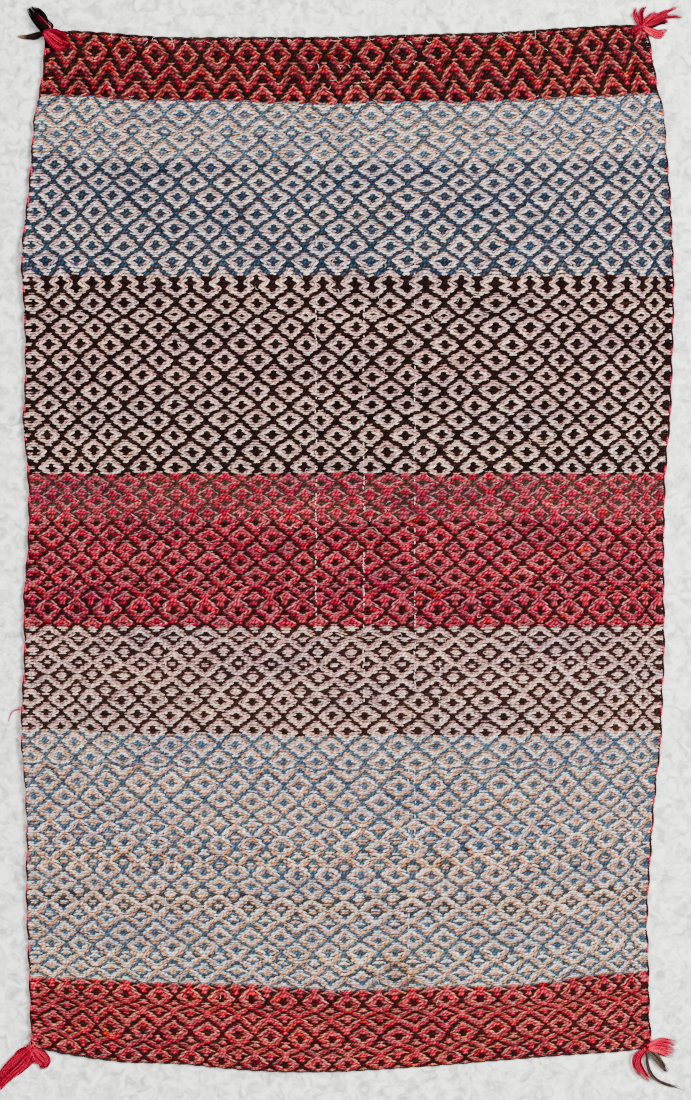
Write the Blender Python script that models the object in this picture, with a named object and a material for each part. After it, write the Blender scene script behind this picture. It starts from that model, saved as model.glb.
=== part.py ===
"""A hand-woven double saddle blanket, lying flat, with corded edges and a tassel at each corner.

The cloth is one thick piece of wool twill. A two-ply cord is woven into each side and another closes each
end, and at every corner the ends of the cords are knotted into a tassel. Sizes in the tables are in
millimetres from the middle of the cloth, +X to its right and +Y towards its upper end. Z is up from the
surface that it lies on.
"""

import math

import bmesh
import bpy
from mathutils import Vector

MM = 0.001

# Cloth
CLOTH_THICKNESS = 5.0
CLOTH_COLUMNS = 20
CLOTH_ROWS = 34
EDGE_ROUNDING = 1.3
SMALLEST_GAP = 0.5
SHARP_EDGE_DEGREES = 50

# Cords along the edges, each of two plies
CORD_RADIUS = 2.5
PLY_FLATNESS = 0.72
CORD_TWIST_LENGTH = 37.0
RINGS_PER_TWIST = 6
CORD_SIDES = 6
CORD_END_SIZE = 0.72
EDGE_TO_CLOTH = 2 * CORD_RADIUS + SMALLEST_GAP

# Finished edges, cords included: how far the left and right edges lie from the middle line at each height
SIDE_EDGES = (
    # along, left, right
    (638, -376, 371),
    (602, -376, 379),
    (565, -381, 385),
    (534, -388, 393),
    (491, -391, 395),
    (442, -395, 400),
    (392, -401, 402),
    (353, -404, 404),
    (306, -401, 404),
    (244, -399, 403),
    (183, -400, 401),
    (152, -402, 400),
    (109, -397, 395),
    (59, -395, 393),
    (-2, -396, 392),
    (-64, -401, 392),
    (-126, -400, 393),
    (-188, -403, 390),
    (-237, -404, 389),
    (-286, -400, 383),
    (-348, -397, 378),
    (-410, -398, 374),
    (-459, -397, 371),
    (-508, -395, 373),
    (-570, -393, 374),
    (-617, -392, 377),
)
# The same for the upper and lower ends, at each distance across
END_EDGES = (
    # across, top, bottom
    (-392, 637, -616),
    (-355, 640, -625),
    (-318, 639, -631),
    (-281, 636, -636),
    (-244, 633, -637),
    (-207, 631, -638),
    (-170, 632, -642),
    (-108, 632, -647),
    (-34, 632, -648),
    (40, 634, -645),
    (114, 636, -640),
    (188, 638, -634),
    (262, 643, -628),
    (336, 647, -623),
    (377, 647, -618),
)
COLUMN_OF = {"left": 1, "right": 2, "top": 1, "bottom": 2}
OUTWARDS = {"left": -1, "right": 1, "top": 1, "bottom": -1}

# Tassel heads: the knots outside the corners
HEADS = {
    # corner: x, y, long radius, short radius, turn of the long way in degrees
    "top_left": (-374.7, 636.7, 5.5, 5.5, 45),
    "top_right": (369.8, 645.8, 5.5, 5.5, -45),
    "bottom_left": (-390.0, -616.5, 9.0, 5.5, -35),
    "bottom_right": (374.6, -618.2, 9.0, 5.5, 25),
}
HEAD_FACES = 20
# Levels of a head from its flat foot to its crown, and its size at each as a share of the full one
HEAD_LEVELS = (
    # height, share
    (0.0, 0.88),
    (3.2, 1.0),
    (6.5, 0.86),
    (8.4, 0.46),
)
FLOOR_LEVEL = 0
OVER_CLOTH_LEVEL = 2
OVER_CLOTH_HEIGHT = 6.6
STRAND_RINGS = 7
STRAND_FLATNESS = 0.85
# Where along it a strand is widest, and how wide its root is beside that
STRAND_BELLY = 0.3
STRAND_ROOT = 0.5

# Locks of yarn. Each fans into strands beside a middle line of three points. spread is the distance
# between neighbouring strands at each of them, and thick and tip are a strand's width at root and end.
LOCKS = (
    # corner, level, strands, root angle, points, spread, thick, tip
    ("top_left", FLOOR_LEVEL, 4, 112, ((-378, 649), (-384, 659), (-393, 668)), (3.5, 3.4, 1.9), 3.1, 0.9),
    ("top_left", FLOOR_LEVEL, 2, 190, ((-385, 632), (-394, 631), (-407, 633)), (3.8, 2.9, 1.4), 3.4, 0.8),
    ("top_left", OVER_CLOTH_LEVEL, 2, 315, ((-366, 628), (-355, 618), (-344, 617)), (3.4, 3.6, 2.6), 3.1, 0.9),
    ("top_right", FLOOR_LEVEL, 2, 122, ((363, 655), (358, 663), (364, 671)), (4.0, 4.6, 5.0), 2.8, 0.7),
    ("top_right", FLOOR_LEVEL, 3, 76, ((374, 655), (378, 660), (382, 665)), (3.9, 4.6, 4.2), 3.4, 0.8),
    ("top_right", FLOOR_LEVEL, 2, 32, ((388, 655), (401, 660), (414, 662.5)), (5.0, 8.0, 16.0), 3.4, 0.9),
    ("top_right", FLOOR_LEVEL, 3, 350, ((380, 643.5), (386, 643), (393, 643)), (4.2, 4.6, 4.0), 3.6, 0.8),
    ("bottom_left", FLOOR_LEVEL, 2, 150, ((-404, -611), (-412, -617), (-416, -628)), (3.0, 2.8, 2.0), 2.4, 0.7),
    ("bottom_left", FLOOR_LEVEL, 7, 216, ((-406, -634), (-422, -651), (-441, -672)), (3.8, 3.5, 2.1), 3.2, 0.9),
    ("bottom_left", FLOOR_LEVEL, 2, 272, ((-392, -631), (-396, -640), (-401, -648)), (3.2, 2.8, 1.8), 2.6, 0.7),
    ("bottom_right", FLOOR_LEVEL, 4, 12, ((389, -618), (397, -619.5), (405, -621)), (5.0, 5.8, 6.0), 4.4, 1.1),
    ("bottom_right", FLOOR_LEVEL, 2, 322, ((386, -631), (391, -638), (396, -647)), (3.6, 3.6, 2.0), 3.2, 0.8),
    ("bottom_right", FLOOR_LEVEL, 1, 296, ((380, -646), (393, -660), (417, -669)), (0.0, 0.0, 0.0), 3.4, 0.7),
    ("bottom_right", FLOOR_LEVEL, 3, 236, ((362, -635), (366, -648), (376, -661)), (3.8, 3.6, 2.8), 3.2, 0.8),
)

# Slack places, where the cloth stands a little off the surface or is thicker
SLACK_PLACES = (
    # across, along, reach across, reach along, lift
    (-404, 353, 55, 60, 2.4),
    (-404, -225, 50, 65, 2.0),
    (404, 300, 45, 80, 1.8),
    (392, -64, 40, 55, 1.2),
    (-20, -648, 120, 35, 1.6),
    (-230, 633, 70, 30, 1.4),
    (371, -470, 40, 50, 1.5),
)
SWELLS = (
    # height, length across, length along, start
    (0.45, 310, 520, 0.4),
    (0.35, -190, 260, 1.9),
    (0.25, 97, 140, 3.1),
)


def smooth_read(table, column, at):
    """The value of a column at a place between two rows, on a curve that passes smoothly through them."""
    rows = sorted(table)
    at = min(max(at, rows[0][0]), rows[-1][0])
    upper = next(i for i in range(1, len(rows)) if at <= rows[i][0])
    lower = upper - 1

    def slope(i):
        before = rows[max(i - 1, 0)]
        after = rows[min(i + 1, len(rows) - 1)]
        return (after[column] - before[column]) / (after[0] - before[0])

    span = rows[upper][0] - rows[lower][0]
    u = (at - rows[lower][0]) / span
    start, end = rows[lower][column], rows[upper][column]
    return (
        start * (2 * u**3 - 3 * u**2 + 1)
        + slope(lower) * span * (u**3 - 2 * u**2 + u)
        + end * (3 * u**2 - 2 * u**3)
        + slope(upper) * span * (u**3 - u**2)
    )


def corner(end, side, inset):
    """Where a side and an end meet, both drawn in by inset. It is found by going from one to the other."""
    x, y = 0.0, OUTWARDS[end] * SIDE_EDGES[0][0]
    for _ in range(4):
        x = smooth_read(SIDE_EDGES, COLUMN_OF[side], y) - OUTWARDS[side] * inset
        y = smooth_read(END_EDGES, COLUMN_OF[end], x) - OUTWARDS[end] * inset
    return Vector((x, y))


def side_point(side, along, inset):
    """A place on the left or right edge, drawn in by inset. along runs 0 to 1, from bottom to top."""
    y = corner("bottom", side, inset).y * (1 - along) + corner("top", side, inset).y * along
    return Vector((smooth_read(SIDE_EDGES, COLUMN_OF[side], y) - OUTWARDS[side] * inset, y))


def end_point(end, across, inset):
    """A place on the top or bottom edge, drawn in by inset. across runs 0 to 1, from left to right."""
    x = corner(end, "left", inset).x * (1 - across) + corner(end, "right", inset).x * across
    return Vector((x, smooth_read(END_EDGES, COLUMN_OF[end], x) - OUTWARDS[end] * inset))


def cloth_point(across, along, inset):
    """A place on the cloth between its four edges, which it follows more the nearer they are."""
    sides = side_point("left", along, inset) * (1 - across) + side_point("right", along, inset) * across
    ends = end_point("bottom", across, inset) * (1 - along) + end_point("top", across, inset) * along
    low = corner("bottom", "left", inset) * (1 - across) + corner("bottom", "right", inset) * across
    high = corner("top", "left", inset) * (1 - across) + corner("top", "right", inset) * across
    return sides + ends - (low * (1 - along) + high * along)


def lift_at(place):
    """How far the underside stands off the surface."""
    lift = 0.0
    for across, along, reach_across, reach_along, height in SLACK_PLACES:
        far = ((place.x - across) / reach_across) ** 2 + ((place.y - along) / reach_along) ** 2
        lift += height * max(0.0, 1 - far) ** 2
    return lift


def swell_at(place):
    """How much the upper face rises over or sinks under its mean level."""
    return sum(
        height * math.sin(2 * math.pi * (place.x / length_across + place.y / length_along) + start)
        for height, length_across, length_along, start in SWELLS
    )


def material(name, colour, roughness):
    """A woollen surface of one colour."""
    made = bpy.data.materials.new(name)
    made.use_nodes = True
    shader = made.node_tree.nodes["Principled BSDF"]
    shader.inputs["Base Color"].default_value = (*colour, 1.0)
    shader.inputs["Roughness"].default_value = roughness
    shader.inputs["Metallic"].default_value = 0.0
    made.diffuse_color = (*colour, 1.0)
    return made


def finished(name, shape, surface, smooth=False):
    """Turns a bmesh in millimetres into an object in metres."""
    bmesh.ops.recalc_face_normals(shape, faces=shape.faces)
    bmesh.ops.scale(shape, vec=(MM, MM, MM), verts=shape.verts)
    mesh = bpy.data.meshes.new(name)
    shape.to_mesh(mesh)
    shape.free()
    if smooth:
        mesh.shade_smooth()
        mesh.set_sharp_from_angle(angle=math.radians(SHARP_EDGE_DEGREES))
    mesh.materials.append(surface)
    thing = bpy.data.objects.new(name, mesh)
    bpy.context.scene.collection.objects.link(thing)
    return thing


def build_cloth():
    """One thick sheet: an upper and a lower face on the same grid, joined by a rounded edge."""
    shape = bmesh.new()

    def face_grid(upper):
        """Both faces stop a little short of the edge, which is rounded."""
        grid = []
        for j in range(CLOTH_ROWS + 1):
            row = []
            for i in range(CLOTH_COLUMNS + 1):
                place = cloth_point(i / CLOTH_COLUMNS, j / CLOTH_ROWS, EDGE_TO_CLOTH + EDGE_ROUNDING)
                height = lift_at(place) + (CLOTH_THICKNESS + swell_at(place) if upper else 0.0)
                row.append(shape.verts.new((place.x, place.y, height)))
            grid.append(row)
        for j in range(CLOTH_ROWS):
            for i in range(CLOTH_COLUMNS):
                shape.faces.new((grid[j][i], grid[j][i + 1], grid[j + 1][i + 1], grid[j + 1][i]))
        return grid

    def rim(grid):
        """The outer points of a grid, once round."""
        bottom = grid[0][:-1]
        right = [row[-1] for row in grid[:-1]]
        top = grid[-1][:0:-1]
        left = [row[0] for row in grid[:0:-1]]
        return bottom + right + top + left

    def edge_ring(rim_points, up):
        """The ring of the widest part of the edge, EDGE_ROUNDING outside its face and above or below it."""
        steps = (
            [(i / CLOTH_COLUMNS, 0) for i in range(CLOTH_COLUMNS)]
            + [(1, j / CLOTH_ROWS) for j in range(CLOTH_ROWS)]
            + [(i / CLOTH_COLUMNS, 1) for i in range(CLOTH_COLUMNS, 0, -1)]
            + [(0, j / CLOTH_ROWS) for j in range(CLOTH_ROWS, 0, -1)]
        )
        ring = []
        for (across, along), face_point in zip(steps, rim_points):
            place = cloth_point(across, along, EDGE_TO_CLOTH)
            ring.append(shape.verts.new((place.x, place.y, face_point.co.z + up)))
        return ring

    top_rim = rim(face_grid(True))
    bottom_rim = rim(face_grid(False))
    loops = [
        top_rim,
        edge_ring(top_rim, -EDGE_ROUNDING),
        edge_ring(bottom_rim, EDGE_ROUNDING),
        bottom_rim,
    ]
    for above, below in zip(loops, loops[1:]):
        for k in range(len(above)):
            after = (k + 1) % len(above)
            shape.faces.new((above[k], above[after], below[after], below[k]))
    return finished("blanket_cloth", shape, WOOL_CLOTH)


def clear_of_heads(place, margin):
    """Whether a place keeps margin from the knot of every tassel."""
    for x, y, long_radius, short_radius, turn in HEADS.values():
        turn = math.radians(turn)
        out = (place.x - x) * math.cos(turn) + (place.y - y) * math.sin(turn)
        aside = (place.y - y) * math.cos(turn) - (place.x - x) * math.sin(turn)
        if (out / (long_radius + margin)) ** 2 + (aside / (short_radius + margin)) ** 2 < 1:
            return False
    return True


def build_edge_cord(name, point_on_edge, steps):
    """A two-ply cord beside the cloth's edge, from knot to knot: a flat section that turns as it goes.

    point_on_edge gives the edge drawn in by any amount. steps is the number of the cloth's edge
    lengths, whose straight runs the cord follows so that the gap stays even.
    """
    corners = [point_on_edge(k / steps, CORD_RADIUS) for k in range(steps + 1)]
    lengths = [0.0]
    for here, after in zip(corners, corners[1:]):
        lengths.append(lengths[-1] + (after - here).length)

    def walk(reached):
        """The place that far along the cord, and the way the cord runs there."""
        part = next((n for n in range(1, steps) if reached <= lengths[n]), steps)
        run = corners[part] - corners[part - 1]
        return corners[part - 1] + run * ((reached - lengths[part - 1]) / run.length), run

    start, stop = 0.0, lengths[-1]
    while not clear_of_heads(walk(start)[0], CORD_RADIUS + SMALLEST_GAP):
        start += SMALLEST_GAP / 2
    while not clear_of_heads(walk(stop)[0], CORD_RADIUS + SMALLEST_GAP):
        stop -= SMALLEST_GAP / 2

    rings = round((stop - start) / CORD_TWIST_LENGTH * RINGS_PER_TWIST)
    shape = bmesh.new()
    before = None
    for k in range(rings + 1):
        reached = start + (stop - start) * k / rings
        middle, run = walk(reached)
        outwards = Vector((run.y, -run.x)).normalized()
        turn = 2 * math.pi * reached / CORD_TWIST_LENGTH
        radius = CORD_RADIUS * (CORD_END_SIZE if k in (0, rings) else 1.0)
        ring = []
        for n in range(CORD_SIDES):
            angle = 2 * math.pi * n / CORD_SIDES
            wide = radius * math.cos(angle)
            flat = radius * math.sin(angle) * PLY_FLATNESS
            sideways = wide * math.cos(turn) - flat * math.sin(turn)
            upwards = wide * math.sin(turn) + flat * math.cos(turn)
            height = CORD_RADIUS + lift_at(middle) + upwards
            ring.append(shape.verts.new((*(middle + outwards * sideways), height)))
        if before:
            for n in range(CORD_SIDES):
                after = (n + 1) % CORD_SIDES
                shape.faces.new((before[n], before[after], ring[after], ring[n]))
        else:
            shape.faces.new(ring)
        before = ring
    shape.faces.new(before)
    return finished(name, shape, WOOL_CORD, smooth=True)


def strand_line(root, points, spread, offset):
    """The points of one strand: the lock's middle line shifted sideways by offset spreads."""
    line = [root]
    middle = [root, *(Vector(point) for point in points)]
    for k in range(1, len(middle)):
        ahead = middle[min(k + 1, len(middle) - 1)] - middle[k - 1]
        sideways = Vector((-ahead.y, ahead.x)).normalized()
        line.append(middle[k] + sideways * spread[k - 1] * offset)
    return line


def on_line(line, share):
    """A place on a smooth curve through a line's points, share running 0 to 1, and its direction."""
    spans = len(line) - 1
    k = min(int(share * spans), spans - 1)
    u = share * spans - k
    before, start, end, after = (
        line[max(k - 1, 0)],
        line[k],
        line[k + 1],
        line[min(k + 2, spans)],
    )
    leave = (end - before) / 2
    arrive = (after - start) / 2
    place = (
        start * (2 * u**3 - 3 * u**2 + 1)
        + leave * (u**3 - 2 * u**2 + u)
        + end * (3 * u**2 - 2 * u**3)
        + arrive * (u**3 - u**2)
    )
    direction = (
        (start - end) * (6 * u**2 - 6 * u)
        + leave * (3 * u**2 - 4 * u + 1)
        + arrive * (3 * u**2 - 2 * u)
    )
    return place, direction.normalized()


def strand_width(share, thick, tip):
    """How wide a strand is: drawn in at its root, widest at its belly and thin at its end."""
    if share < STRAND_BELLY:
        return thick * (STRAND_ROOT + (1 - STRAND_ROOT) * share / STRAND_BELLY)
    return thick + (tip - thick) * ((share - STRAND_BELLY) / (1 - STRAND_BELLY)) ** 1.5


def grow_strand(shape, root_face, line, height, thick, tip):
    """Draws a four-sided strand out of a face of the head and thins it towards its end."""
    face = root_face
    for k in range(1, STRAND_RINGS + 1):
        share = k / STRAND_RINGS
        place, direction = on_line(line, share)
        sideways = Vector((-direction.y, direction.x))
        width = strand_width(share, thick, tip)
        face = bmesh.ops.extrude_discrete_faces(shape, faces=[face])["faces"][0]
        corners = sorted(face.verts, key=lambda vert: vert.co.z)
        for pair, level in ((corners[:2], 0.0), (corners[2:], width * STRAND_FLATNESS)):
            across = sorted(pair, key=lambda vert: vert.co.xy.dot(sideways))
            for vert, hand in zip(across, (-0.5, 0.5)):
                spot = place + sideways * (hand * width)
                vert.co = (spot.x, spot.y, height + level)


def build_tassel(name, surface):
    """A knotted head with a flat foot, and locks that grow from its side or its crown."""
    x, y, long_radius, short_radius, turn = HEADS[name]
    turn = math.radians(turn)
    shape = bmesh.new()
    rings = []
    for height, share in HEAD_LEVELS:
        ring = []
        for k in range(HEAD_FACES):
            angle = 2 * math.pi * k / HEAD_FACES
            out = long_radius * math.cos(angle) * share
            aside = short_radius * math.sin(angle) * share
            ring.append(
                shape.verts.new((
                    x + out * math.cos(turn) - aside * math.sin(turn),
                    y + out * math.sin(turn) + aside * math.cos(turn),
                    height,
                ))
            )
        rings.append(ring)
    walls = []
    for below, above in zip(rings, rings[1:]):
        wall = []
        for k in range(HEAD_FACES):
            after = (k + 1) % HEAD_FACES
            wall.append(shape.faces.new((below[k], below[after], above[after], above[k])))
        walls.append(wall)
    shape.faces.new(rings[0][::-1])
    shape.faces.new(rings[-1])

    for corner_name, level, strands, root_angle, points, spread, thick, tip in LOCKS:
        if corner_name != name:
            continue
        wall = walls[level]
        middle = Vector((x, y))
        aim = Vector((math.cos(math.radians(root_angle)), math.sin(math.radians(root_angle))))
        by_aim = sorted(
            (face for face in wall if face.is_valid),
            key=lambda face: -(face.calc_center_median().xy - middle).normalized().dot(aim),
        )
        chosen = by_aim[:strands]
        left_of_aim = Vector((-aim.y, aim.x))
        chosen.sort(key=lambda face: (face.calc_center_median().xy - middle).dot(left_of_aim))
        for face in chosen:
            wall.remove(face)
        for k, face in enumerate(chosen):
            root = face.calc_center_median().xy
            line = strand_line(root, points, spread, k - (strands - 1) / 2)
            height = OVER_CLOTH_HEIGHT if level == OVER_CLOTH_LEVEL else 0.0
            grow_strand(shape, face, line, height, thick, tip)
    return finished("tassel_" + name, shape, surface)


# The end of a joined weft yarn, which leaves the left cord half way up and bends down to the surface
YARN_END_LINE = (
    # across, along, height of its underside
    (-403.2, -199.0, 3.2),
    (-412.0, -201.0, 1.0),
    (-416.5, -207.0, 0.0),
    (-419.0, -215.0, 0.0),
)
YARN_END_THICK = 2.4
YARN_END_TIP = 0.8


def build_yarn_end():
    """One bent four-sided yarn beside the cord."""
    line = [Vector(point) for point in YARN_END_LINE]
    shape = bmesh.new()
    before = None
    for k in range(STRAND_RINGS + 1):
        share = k / STRAND_RINGS
        place, direction = on_line(line, share)
        sideways = Vector((-direction.y, direction.x)).normalized()
        width = YARN_END_THICK + (YARN_END_TIP - YARN_END_THICK) * share
        ring = []
        for hand, level in ((-0.5, 0.0), (0.5, 0.0), (0.5, STRAND_FLATNESS), (-0.5, STRAND_FLATNESS)):
            spot = place.xy + sideways * (hand * width)
            ring.append(shape.verts.new((spot.x, spot.y, max(place.z, 0.0) + level * width)))
        if before:
            for n in range(4):
                after = (n + 1) % 4
                shape.faces.new((before[n], before[after], ring[after], ring[n]))
        else:
            shape.faces.new(ring)
        before = ring
    shape.faces.new(before)
    return finished("loose_yarn_end", shape, WOOL_RED)


def seat(things):
    """Moves everything so that the origin is under the middle of the whole blanket, on the surface."""
    points = [vert.co for thing in things for vert in thing.data.vertices]
    low = Vector([min(point[n] for point in points) for n in range(3)])
    high = Vector([max(point[n] for point in points) for n in range(3)])
    shift = Vector((-(low.x + high.x) / 2, -(low.y + high.y) / 2, -low.z))
    for thing in things:
        thing.location = shift
    print("shift", [round(n / MM, 3) for n in shift], "size", [round(n / MM, 2) for n in high - low])


for thing in list(bpy.data.objects):
    bpy.data.objects.remove(thing)

WOOL_CLOTH = material("wool_cloth", (0.42, 0.34, 0.32), 0.9)
WOOL_CORD = material("wool_cord", (0.16, 0.03, 0.04), 0.9)
WOOL_RED = material("wool_red", (0.55, 0.02, 0.05), 0.85)
WOOL_DARK = material("wool_dark", (0.05, 0.035, 0.03), 0.9)

made = [build_cloth()]
for side in ("left", "right"):
    made.append(
        build_edge_cord(
            side + "_edge_cord",
            lambda share, inset, side=side: side_point(side, share, inset),
            CLOTH_ROWS,
        )
    )
for end in ("top", "bottom"):
    made.append(
        build_edge_cord(
            end + "_edge_cord",
            lambda share, inset, end=end: end_point(end, share, inset),
            CLOTH_COLUMNS,
        )
    )
for name, surface in (
    ("top_left", WOOL_DARK),
    ("top_right", WOOL_RED),
    ("bottom_left", WOOL_RED),
    ("bottom_right", WOOL_RED),
):
    made.append(build_tassel(name, surface))
made.append(build_yarn_end())
seat(made)
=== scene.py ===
"""The looks of a hand-woven double saddle blanket that lies flat on a pale floor, seen from straight above.

The sections follow the blanket as it is made: the cloth, its seven bands of weft, the cords along its edges,
the tassels at its corners, a loose yarn end and the wear. Sizes are in millimetres from the middle of the
cloth, +X to its right and +Y towards its upper end, as in the CAD source.
"""

import functools
import math
import random

import bmesh
import bpy
import numpy as np
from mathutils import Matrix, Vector


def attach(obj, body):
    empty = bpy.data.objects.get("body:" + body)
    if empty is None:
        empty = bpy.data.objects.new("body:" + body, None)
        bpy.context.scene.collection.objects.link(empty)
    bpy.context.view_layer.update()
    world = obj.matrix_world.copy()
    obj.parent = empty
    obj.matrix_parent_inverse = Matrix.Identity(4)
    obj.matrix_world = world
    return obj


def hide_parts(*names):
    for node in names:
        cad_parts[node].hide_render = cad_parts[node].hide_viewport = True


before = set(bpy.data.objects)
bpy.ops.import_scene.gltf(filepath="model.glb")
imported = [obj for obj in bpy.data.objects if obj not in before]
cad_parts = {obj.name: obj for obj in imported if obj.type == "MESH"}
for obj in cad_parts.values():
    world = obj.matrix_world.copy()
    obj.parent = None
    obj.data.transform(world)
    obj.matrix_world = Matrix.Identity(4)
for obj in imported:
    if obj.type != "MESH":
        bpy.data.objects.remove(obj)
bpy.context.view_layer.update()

# The cloth: one thick piece of handwoven wool, wider in its upper half, with bowed ends and slack places. Its
# body, in which the warps and the backs of the wefts lie, is one dark brown: partly the colour of the dark
# wefts and partly painted shade in the gaps between the floats. The floats of the seven bands cover its upper
# face.
# Its edges, slack places and swells are the CAD part's own.
MM = 0.001
# Where the middle of the cloth lies in the frame
SHIFT = (14.462, 1.94)
CLOTH_THICKNESS = 5.0
CORD_RADIUS = 2.5
SMALLEST_GAP = 0.5
EDGE_TO_CLOTH = 2 * CORD_RADIUS + SMALLEST_GAP
SIDE_EDGES = (
    # along, left, right
    (638, -376, 371), (602, -376, 379), (565, -381, 385), (534, -388, 393), (491, -391, 395),
    (442, -395, 400), (392, -401, 402), (353, -404, 404), (306, -401, 404), (244, -399, 403),
    (183, -400, 401), (152, -402, 400), (109, -397, 395), (59, -395, 393), (-2, -396, 392),
    (-64, -401, 392), (-126, -400, 393), (-188, -403, 390), (-237, -404, 389), (-286, -400, 383),
    (-348, -397, 378), (-410, -398, 374), (-459, -397, 371), (-508, -395, 373), (-570, -393, 374),
    (-617, -392, 377),
)
END_EDGES = (
    # across, top, bottom
    (-392, 637, -616), (-355, 640, -625), (-318, 639, -631), (-281, 636, -636), (-244, 633, -637),
    (-207, 631, -638), (-170, 632, -642), (-108, 632, -647), (-34, 632, -648), (40, 634, -645),
    (114, 636, -640), (188, 638, -634), (262, 643, -628), (336, 647, -623), (377, 647, -618),
)
COLUMN_OF = {"left": 1, "right": 2, "top": 1, "bottom": 2}
OUTWARDS = {"left": -1, "right": 1, "top": 1, "bottom": -1}
SLACK_PLACES = (
    # across, along, reach across, reach along, lift
    (-404, 353, 55, 60, 2.4),
    (-404, -225, 50, 65, 2.0),
    (404, 300, 45, 80, 1.8),
    (392, -64, 40, 55, 1.2),
    (-20, -648, 120, 35, 1.6),
    (-230, 633, 70, 30, 1.4),
    (371, -470, 40, 50, 1.5),
)
SWELLS = (
    # height, length across, length along, start
    (0.45, 310, 520, 0.4),
    (0.35, -190, 260, 1.9),
    (0.25, 97, 140, 3.1),
)


def smooth_curve(start, leave, end, arrive, u):
    """A place on a curve from start to end, u running 0 to 1, that leaves and arrives as it is told."""
    return (
        start * (2 * u**3 - 3 * u**2 + 1)
        + leave * (u**3 - 2 * u**2 + u)
        + end * (3 * u**2 - 2 * u**3)
        + arrive * (u**3 - u**2)
    )


def smooth_read(table, column, at):
    """The value of a column at a place between two rows, on a curve that passes smoothly through them."""
    rows = sorted(table)
    at = min(max(at, rows[0][0]), rows[-1][0])
    upper = next(i for i in range(1, len(rows)) if at <= rows[i][0])
    lower = upper - 1

    def slope(i):
        before = rows[max(i - 1, 0)]
        after = rows[min(i + 1, len(rows) - 1)]
        return (after[column] - before[column]) / (after[0] - before[0])

    span = rows[upper][0] - rows[lower][0]
    start, end = rows[lower][column], rows[upper][column]
    return smooth_curve(start, slope(lower) * span, end, slope(upper) * span, (at - rows[lower][0]) / span)


def corner(end, side, inset):
    """Where a side and an end meet, both drawn in by inset. It is found by going from one to the other."""
    x, y = 0.0, OUTWARDS[end] * SIDE_EDGES[0][0]
    for _ in range(4):
        x = smooth_read(SIDE_EDGES, COLUMN_OF[side], y) - OUTWARDS[side] * inset
        y = smooth_read(END_EDGES, COLUMN_OF[end], x) - OUTWARDS[end] * inset
    return Vector((x, y))


def side_point(side, along, inset):
    """A place on the left or right edge, drawn in by inset. along runs 0 to 1, from bottom to top."""
    y = corner("bottom", side, inset).y * (1 - along) + corner("top", side, inset).y * along
    return Vector((smooth_read(SIDE_EDGES, COLUMN_OF[side], y) - OUTWARDS[side] * inset, y))


def end_point(end, across, inset):
    """A place on the top or bottom edge, drawn in by inset. across runs 0 to 1, from left to right."""
    x = corner(end, "left", inset).x * (1 - across) + corner(end, "right", inset).x * across
    return Vector((x, smooth_read(END_EDGES, COLUMN_OF[end], x) - OUTWARDS[end] * inset))


def lift_at(x, y):
    """How far the underside stands off the surface. x and y are numbers or arrays."""
    lift = 0.0
    for across, along, reach_across, reach_along, height in SLACK_PLACES:
        far = ((x - across) / reach_across) ** 2 + ((y - along) / reach_along) ** 2
        lift = lift + height * np.maximum(0.0, 1 - far) ** 2
    return lift


def ripples(table, x, y):
    """What the slow waves of a table come to at a place. x and y are numbers or arrays."""
    height = 0.0
    for size, length_across, length_along, start in table:
        height = height + size * np.sin(2 * math.pi * (x / length_across + y / length_along) + start)
    return height


def top_at(x, y):
    """The mean level of the upper face."""
    return lift_at(x, y) + CLOTH_THICKNESS + ripples(SWELLS, x, y)


GROUND_COLUMNS = 80
GROUND_ROWS = 130
# How far the body lies under the upper face, and its underside over the floor
GROUND_DEPTH = 1.1
GROUND_LIFT = 0.05
EDGE_ROUNDING = 1.3
# One dark brown for the body: partly the dark wefts, partly painted shade in the gaps between the floats
GROUND_AND_GAP_SHADE_COLOUR = (42, 22, 20)
WOOL_ROUGHNESS = 0.86
WOOL_SHEEN = 0.03
CLEAN_WHITE = (0.97, 0.97, 0.97)
# Blender's wave texture goes through this much of a turn in one unit
WAVE_TEXTURE_TURN = 20
# How the lines of a yarn's twist slant, in degrees, and how dark and light they are painted, as shade in
# its grooves and highlight on its ridges
TWIST_SLANT = 28
TWIST_PAINTED_SHADING = (0.55, 1.35)
# The part of a texture's values that most of it lies in
TEXTURE_ENDS = {"From Min": 0.25, "From Max": 0.75}
# A map is never divided by less than this, in metres
SMALLEST_MAP = 1e-6


def srgb(red, green, blue):
    """A colour given as on a screen, 0 to 255, as the renderer takes it."""
    return [((n / 255 + 0.055) / 1.055) ** 2.4 if n > 10 else n / 255 / 12.92 for n in (red, green, blue)]


def in_frame(points):
    """Places in millimetres from the middle of the cloth, as metres in the frame."""
    return (points + np.array([*SHIFT, 0.0])) * MM


def places_of(mesh):
    """Where a mesh's vertices lie, one row for each."""
    places = np.zeros(len(mesh.vertices) * 3, np.float32)
    mesh.vertices.foreach_get("co", places)
    return places.reshape(-1, 3)


def point_colours(mesh, colours):
    """Stores one colour for every vertex."""
    stored = mesh.attributes.new("wool_colour", "FLOAT_COLOR", "POINT")
    four = np.ones((len(colours), 4), np.float32)
    four[:, :3] = colours
    stored.data.foreach_set("color", four.ravel())


def map_of(mesh, name, places):
    """Stores a map in which every vertex has one place."""
    corners = np.zeros(len(mesh.loops), np.int32)
    mesh.loops.foreach_get("vertex_index", corners)
    mesh.uv_layers.new(name=name).uv.foreach_set("vector", places[corners].astype(np.float32).ravel())


def flat_map(mesh):
    """A plain map from above, over the whole piece."""
    places = places_of(mesh)[:, :2]
    low, high = places.min(0), places.max(0)
    map_of(mesh, "OFBake", (places - low) / np.maximum(high - low, SMALLEST_MAP))


def yarn_map(mesh, lengths, rounds):
    """A map along the yarn, in millimetres, and round it. Both are given for every vertex."""
    map_of(mesh, "yarn", np.stack([np.ravel(lengths), np.ravel(rounds)], axis=1))


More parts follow.
